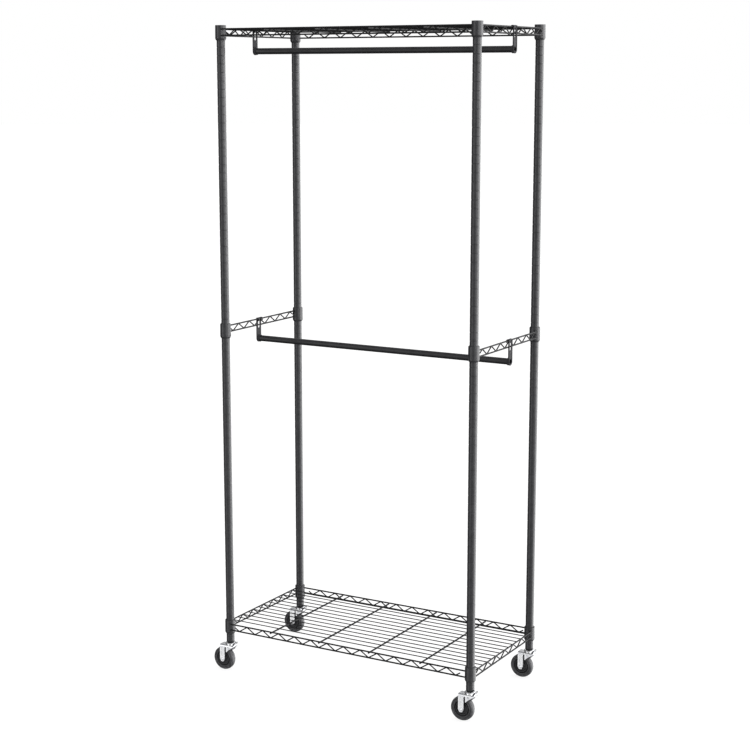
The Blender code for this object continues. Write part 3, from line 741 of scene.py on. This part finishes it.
def make_hooks():
    """The four rod hooks, turned to face outwards."""
    for level in ("upper", "middle"):
        for side in SIDES:
            node = f"{level}_rod_hook_{side}"
            rod = centre_of(f"{level}_rod")
            x = POSTS[f"front_{side}"].x + OUTWARD[side] * TRUSS_OFFSET
            turn = Matrix.Rotation(0 if side == "right" else math.pi, 4, "Z")
            place = Matrix.Translation((x, 0, rod.z + ROD_DROP)) @ turn
            piece(f"formed_{node}", hook_shape(), "frame", [node], HOOK_COAT, place)


# Casters

def stem_shape():
    """The stem, the domed race cover and the riveted kingpin."""
    shape = bmesh.new()
    stem = [(0.0, 0.1340), (0.0040, 0.1340), (STEM_RADIUS, 0.1330), (STEM_RADIUS, 0.0966)]
    cover = [(0.0112, 0.0966), (0.0124, 0.0963), (0.0143, 0.0955), (0.0160, 0.0944), (0.0169, 0.0934)]
    cover += [(0.0172, 0.0925), (0.0172, 0.0917), (0.0168, 0.0913)]
    kingpin = [(KINGPIN_RADIUS, 0.0913), (KINGPIN_RADIUS, 0.0842)]
    rivet = [(0.0082, 0.0842), (0.0085, 0.0838), (0.0080, 0.0832), (0.0, 0.0830)]
    turned(shape, stem + cover + kingpin + rivet, 48)
    return shape


def unrolled(z):
    """How far a height on the fork's cheek is from the crown's middle, along the sheet."""
    flat = FORK_FACE - FORK_SHEET / 2 - FORK_BEND
    return flat + FORK_BEND * (math.pi / 2 - 1) + FORK_TOP - FORK_SHEET / 2 - z


def fork_blank():
    """Half of the fork's flat blank, as (x, distance from the crown's middle)."""
    back = -TRAIL - LEG_WIDTH / 2
    front = -TRAIL + LEG_WIDTH / 2
    wing = [(NOSE_X, 0.0838), (0.0150, 0.0795), (0.0010, 0.0705), (NOTCH_X, 0.0600)]
    notch = [(NOTCH_X, NOTCH_TOP), (front, NOTCH_TOP)]
    leg = [(front, WHEEL_RADIUS), (-TRAIL + 0.0050, LEG_TIP)]
    leg += [(-TRAIL - 0.0050, LEG_TIP), (back, WHEEL_RADIUS)]
    return rounded([(x, unrolled(z)) for x, z in wing + notch + leg], LEG_CORNER, 4, closed=False)


def fold(shape):
    """Bends a blank that lies flat in (x, distance) over the crown into two upright cheeks."""
    flat = FORK_FACE - FORK_SHEET / 2 - FORK_BEND
    crown_z = FORK_TOP - FORK_SHEET / 2
    for step in range(-1, 9):
        for side in (-1, 1):
            line = (0, side * (flat + FORK_BEND * step * math.pi / 14), 0)
            everything = shape.verts[:] + shape.edges[:] + shape.faces[:]
            bmesh.ops.bisect_plane(shape, geom=everything, dist=0.000002, plane_co=line, plane_no=(0, 1, 0))
    for vert in shape.verts:
        x, along, lift = vert.co
        side = math.copysign(1, along)
        turn = min(max((abs(along) - flat) / FORK_BEND, 0), math.pi / 2)
        past = max(abs(along) - flat - FORK_BEND * math.pi / 2, 0)
        y = min(abs(along), flat) + (FORK_BEND + lift) * math.sin(turn)
        z = crown_z - FORK_BEND + (FORK_BEND + lift) * math.cos(turn) - past
        vert.co = (x, side * y, z)


def leg_outline(inset):
    """The raised panel down the leg."""
    half = LEG_WIDTH / 2 - inset
    top = FORK_TOP - FORK_BEND - 0.0020
    low = LEG_TIP + inset
    corners = [
        (-TRAIL - half, top), (-TRAIL - half, WHEEL_RADIUS), (-TRAIL - 0.0044, low),
        (-TRAIL + 0.0044, low), (-TRAIL + half, WHEEL_RADIUS), (-TRAIL + half, top),
    ]
    return rounded(corners, LEG_CORNER, 4)


def fork_shape():
    """One sheet folded into crown and cheeks, the raised leg panels and the lower ball race."""
    shape = bmesh.new()
    half = fork_blank()
    blank = list(half) + [Vector((point.x, -point.y)) for point in reversed(half)]
    bore = KINGPIN_RADIUS + FIT_GAP
    holes = [arc((0, 0), bore, 0, 345, 23)]
    for side in (-1, 1):
        holes.append(arc((-TRAIL, side * unrolled(WHEEL_RADIUS)), AXLE_RADIUS + FIT_GAP, 0, 345, 23))
        holes.append(arc((BRAKE_X, side * unrolled(BRAKE_Z)), TRUNNION_RADIUS + FIT_GAP, 0, 340, 17))
    plate(shape, [blank] + holes, FORK_SHEET, 0.0005, Matrix.Identity(4))
    fold(shape)
    axle_hole = arc((-TRAIL, WHEEL_RADIUS), AXLE_RADIUS + FIT_GAP, 0, 345, 23)
    groove = slot_outline(-TRAIL, 0.0480, 0.0760, 0.0018)
    for side in (-1, 1):
        raised = Matrix.Translation((0, side * (FORK_FACE + 0.0001), 0)) @ UPRIGHT
        plate(shape, [leg_outline(0.0007), axle_hole, groove], 0.0013, 0.0006, raised)
    race = [(bore, 0.0910), (0.0128, 0.0910), (0.0140, 0.0904), (0.0146, 0.0890)]
    race += [(0.0152, 0.0876), (0.0160, 0.0868), (0.0150, 0.0862), (bore, 0.0862)]
    turned(shape, race, 48, closed=True)
    return shape


def bolt_hexagon(shape, low, high):
    """A head or nut with chamfered corners, on the axle's line."""
    outline = arc((0, 0), BOLT_FLATS / math.sqrt(3), 0, 300, 5)
    middle = Matrix.Translation((0, 0, (low + high) / 2))
    plate(shape, [outline], high - low, SHEET_EDGE, AXIS_Y @ middle)


def axle_shape():
    """The axle bolt with its hexagonal head, and its nut with a domed end."""
    shape = bmesh.new()
    pin = [(0.0, BOLT_END), (0.0032, BOLT_END - 0.0001), (AXLE_RADIUS, BOLT_END - 0.0008)]
    pin += [(AXLE_RADIUS, -BOLT_SEAT), (0.0, -BOLT_SEAT)]
    turned(shape, pin, 32, AXIS_Y)
    bolt_hexagon(shape, -BOLT_END, -BOLT_SEAT + 0.0002)
    bolt_hexagon(shape, BOLT_SEAT - 0.0002, BOLT_END - 0.0004)
    return shape


def wheel_part(side, steps):
    """A solid turned about the axle. One side is given, as (radius, distance from the middle)."""
    mirrored = [(radius, -height) for radius, height in reversed(side)]
    shape = bmesh.new()
    turned(shape, side + mirrored, steps, AXIS_Y, closed=True)
    return shape


def hub_shape():
    """A moulded hub with a boss, a dished face, a ridge and a recess beside the tyre."""
    boss = [(0.0044, 0.0116), (0.0085, 0.0116), (0.0093, 0.0112), (0.0100, 0.0100), (0.0106, 0.0062)]
    dish = [(0.0118, 0.0052), (0.0166, 0.0052), (0.0176, 0.0060)]
    ridge = [(0.0182, 0.0080), (0.0190, 0.0085), (0.0206, 0.0085), (0.0214, 0.0080)]
    recess = [(0.0221, 0.0052), (0.0237, 0.0048)]
    return wheel_part(boss + dish + ridge + recess, 64)


def tyre_shape():
    """A tyre with a crowned tread, rounded shoulders, a dished side wall and a raised ring round it."""
    bead = [(0.0240, 0.0048), (0.0247, 0.0086), (0.0254, 0.0097), (0.0266, 0.0100), (0.0276, 0.0095)]
    dish = [(0.0284, 0.0082), (0.0306, 0.0078), (0.0316, 0.0084)]
    raised = [(0.0325, 0.0098), (0.0337, 0.0100), (0.0344, 0.0092)]
    tread = [(0.0350, 0.0088), (0.0362, 0.0078), (0.0371, 0.0062), (0.0377, 0.0040), (0.0380, 0.0016)]
    return wheel_part(bead + dish + raised + tread, 96)


def bar_outline(path, half_thickness):
    """The side view of a bent strip that follows a path."""
    upper = []
    lower = []
    for i, point in enumerate(path):
        along = (path[min(i + 1, len(path) - 1)] - path[max(i - 1, 0)]).normalized()
        normal = Vector((-along.y, along.x)) * half_thickness
        upper.append(point + normal)
        lower.append(point - normal)
    return upper + list(reversed(lower))


def pedal_outline():
    """Where the pedal stands, and its oval edge in its own plane."""
    rise = PEDAL_HIGH - PEDAL_LOW
    tall = rise.length / 2
    across = Vector((0, 1, 0))
    tilt = Matrix((across, rise.normalized(), across.cross(rise.normalized()))).transposed().to_4x4()
    corners = [(-PEDAL_HALF, -tall), (PEDAL_HALF, -tall), (PEDAL_HALF, tall), (-PEDAL_HALF, tall)]
    return Matrix.Translation((PEDAL_HIGH + PEDAL_LOW) / 2) @ tilt, rounded(corners, 0.0066, 6)


def brake_shape():
    """The pressed lever: a strip from the pivot to an upturned oval pedal."""
    shape = bmesh.new()
    strip = [(BRAKE_X, 0.0801), (0.0130, 0.0805), (0.0160, 0.0830), (0.0178, 0.0870)]
    strip = rounded(strip, 0.0060, 4, closed=False)
    plate(shape, [bar_outline(strip, LEVER_HALF_SHEET)], LEVER_WIDTH, SHEET_EDGE, UPRIGHT)
    stand, oval = pedal_outline()
    plate(shape, [oval], 0.0014, SHEET_EDGE, stand)
    pin = [(0.0, FORK_FACE), (TRUNNION_RADIUS - 0.0005, FORK_FACE), (TRUNNION_RADIUS, FORK_FACE - 0.0005)]
    pin += [(TRUNNION_RADIUS, -FORK_FACE), (0.0, -FORK_FACE)]
    turned(shape, pin, 24, Matrix.Translation((BRAKE_X, 0, BRAKE_Z)) @ AXIS_Y)
    plate(shape, [arc((BRAKE_X, BRAKE_Z), 0.0036, 0, 345, 23)], 0.0196, 0.0005, UPRIGHT)
    return shape


def shoe_shape():
    """The dark shoe that the lever presses on the tread, and a dark wire round the pedal's edge that paints
    in the dark reflection along its rim.
    """
    shape = bmesh.new()
    corners = [(-0.0018, -0.0020), (-0.0018, -0.0074), (-0.0005, -0.0090), (0.0026, -0.0103)]
    corners += [(0.0050, -0.0097), (0.0115, -0.0052), (0.0115, 0.0006), (0.0030, 0.0012)]
    outline = rounded([(BRAKE_X + x, BRAKE_Z + z) for x, z in corners], 0.0010, 3)
    plate(shape, [outline], SHOE_WIDTH, 0.0005, UPRIGHT)
    stand, oval = pedal_outline()
    # The dark wire round the pedal's edge is painted dark reflection along the rim
    grip = [stand @ Vector((point.x, point.y, 0)) for point in oval]
    wire(shape, grip + grip[:1], PAINTED_RIM_WIRE, 10)
    return shape


def make_casters():
    """The same caster under each post."""
    for corner in CORNERS:
        spot = POSTS[corner]
        at = Matrix.Translation((spot.x, spot.y, 0))
        hub_at = Matrix.Translation((spot.x - TRAIL, spot.y, WHEEL_RADIUS))
        swivel, wheel, brake = (f"{kind}_{corner}" for kind in ("swivel", "wheel", "brake"))
        rows = [
            ("race_and_stem", stem_shape, "frame", ["caster_stem"], ZINC, "caster_zinc", at),
            ("pressed_fork", fork_shape, swivel, ["caster_fork"], ZINC, "caster_zinc", at),
            ("axle", axle_shape, swivel, ["axle_bolt"], BOLT_ZINC, "axle_zinc", hub_at),
            ("moulded_hub", hub_shape, wheel, ["wheel_hub"], HUB_PLASTIC, "hub_plastic", hub_at),
            ("rubber_tyre", tyre_shape, wheel, ["tyre"], RUBBER, "tyre_rubber", hub_at),
            ("pressed_lever", brake_shape, brake, ["brake_lever"], ZINC, "caster_zinc", at),
            # The shoe, and the dark wire that paints in the dark reflection along the pedal's rim, ride
            # with the brake
            ("shoe_and_painted_rim", shoe_shape, brake, [], RUBBER, "tyre_rubber", at),
        ]
        for name, shape_of, body, nodes, material, slot, place in rows:
            stands_for = [f"{node}_{corner}" for node in nodes]
            piece(f"{name}_{corner}", shape_of(), body, stands_for, material, place)


# Stage, lights and camera

def make_floor():
    """A wide pale floor that glows."""
    bpy.ops.mesh.primitive_circle_add(vertices=64, radius=FLOOR_RADIUS, fill_type="NGON")
    floor = bpy.context.object
    floor.name = "floor"
    material, tree, shader = node_material("pale_floor", FLOOR_GREY, 0.75)
    vary_colour(tree, shader, FLOOR_GREY, 0.01, 2)
    shader.inputs["Specular IOR Level"].default_value = 0
    shader.inputs["Emission Color"].default_value = (1, 1, 1, 1)
    shader.inputs["Emission Strength"].default_value = FLOOR_GLOW
    floor.data.materials.append(material)
    floor.visible_glossy = False
    floor.visible_shadow = False


def grey_ramp(tree, source, stops, low, high):
    """A grey level through (value, level) stops. The source's 0 to 1 stands for low to high."""
    made = tree.nodes.new("ShaderNodeValToRGB")
    made.color_ramp.interpolation = "EASE"
    elements = made.color_ramp.elements
    elements.remove(elements[1])
    for i, (value, level) in enumerate(stops):
        position = (value - low) / (high - low)
        element = elements.new(position) if i else elements[0]
        element.position = position
        element.color = (level, level, level, 1)
    tree.links.new(source, made.inputs["Fac"])
    return made.outputs["Color"]


def maths(tree, operation, *values):
    """A math node on numbers and other nodes' outputs."""
    made = tree.nodes.new("ShaderNodeMath")
    made.operation = operation
    for socket, value in zip(made.inputs, values):
        if isinstance(value, (int, float)):
            socket.default_value = value
        else:
            tree.links.new(value, socket)
    return made.outputs["Value"]


def room_light(tree):
    """How bright the room is in each direction: the ceiling and two rows of softboxes."""
    direction = tree.nodes.new("ShaderNodeTexCoord")
    split = tree.nodes.new("ShaderNodeSeparateXYZ")
    tree.links.new(direction.outputs["Generated"], split.inputs["Vector"])
    azimuth = maths(tree, "ARCTAN2", split.outputs["Y"], split.outputs["X"])
    turn = map_range(tree, azimuth, -math.pi, math.pi, 0, 1)
    rise = map_range(tree, split.outputs["Z"], -1, 1, 0, 1)
    glow = grey_ramp(tree, rise, CEILING, -1, 1)
    for boxes, window in ((SOFTBOXES, SOFTBOX_WINDOW), (HIGH_BOXES, HIGH_WINDOW)):
        across = grey_ramp(tree, turn, boxes, -180, 180)
        lit = maths(tree, "MULTIPLY", across, grey_ramp(tree, rise, window, -1, 1))
        glow = maths(tree, "MULTIPLY_ADD", lit, SOFTBOX_STRENGTH, glow)
    return glow


def make_world():
    """The lit room, which the camera itself sees as plain white."""
    world = bpy.data.worlds.new("studio")
    bpy.context.scene.world = world
    world.use_nodes = True
    tree = world.node_tree
    white = tree.nodes["Background"]
    white.inputs["Color"].default_value = (1, 1, 1, 1)
    room = tree.nodes.new("ShaderNodeBackground")
    tree.links.new(room_light(tree), room.inputs["Strength"])
    ray = tree.nodes.new("ShaderNodeLightPath")
    mix = tree.nodes.new("ShaderNodeMixShader")
    tree.links.new(ray.outputs["Is Camera Ray"], mix.inputs["Fac"])
    tree.links.new(room.outputs["Background"], mix.inputs[1])
    tree.links.new(white.outputs["Background"], mix.inputs[2])
    tree.links.new(mix.outputs["Shader"], tree.nodes["World Output"].inputs["Surface"])


def area_light(name, place, target, width, height, power):
    """A soft rectangular light aimed at a point."""
    data = bpy.data.lights.new(name, "AREA")
    data.shape = "RECTANGLE"
    data.size = width
    data.size_y = height
    data.energy = power
    light = bpy.data.objects.new(name, data)
    bpy.context.scene.collection.objects.link(light)
    light.location = place
    light.visible_camera = False
    light.rotation_mode = "QUATERNION"
    light.rotation_quaternion = (Vector(target) - Vector(place)).to_track_quat("-Z", "Y")


def make_lights():
    """The area lights, and a wide soft light from above."""
    for light in AREA_LIGHTS:
        area_light(*light)
    data = bpy.data.lights.new("overhead", "SUN")
    data.energy = OVERHEAD_STRENGTH
    data.angle = math.radians(OVERHEAD_SPREAD)
    overhead = bpy.data.objects.new("overhead", data)
    overhead.visible_glossy = False
    bpy.context.scene.collection.objects.link(overhead)


def make_camera():
    """The camera in front and to the right, a little below the rack's top and tipped down."""
    data = bpy.data.cameras.new("camera")
    data.lens = CAMERA_LENS
    data.sensor_width = CAMERA_SENSOR
    camera = bpy.data.objects.new("camera", data)
    bpy.context.scene.collection.objects.link(camera)
    x, y, z = CAMERA_FROM_GRID
    camera.location = (x + MIDDLE_X, y, z)
    camera.rotation_euler = (math.radians(90 - CAMERA_PITCH), 0, math.radians(CAMERA_AZIMUTH))
    bpy.context.scene.camera = camera


make_camera()
make_posts()
make_sleeves()
make_shelves()
make_ledges()
make_rods()
make_hooks()
make_casters()
make_floor()
make_world()
make_lights()
bpy.context.scene.view_settings.view_transform = "Standard"
bpy.context.scene.view_settings.gamma = VIEW_GAMMA
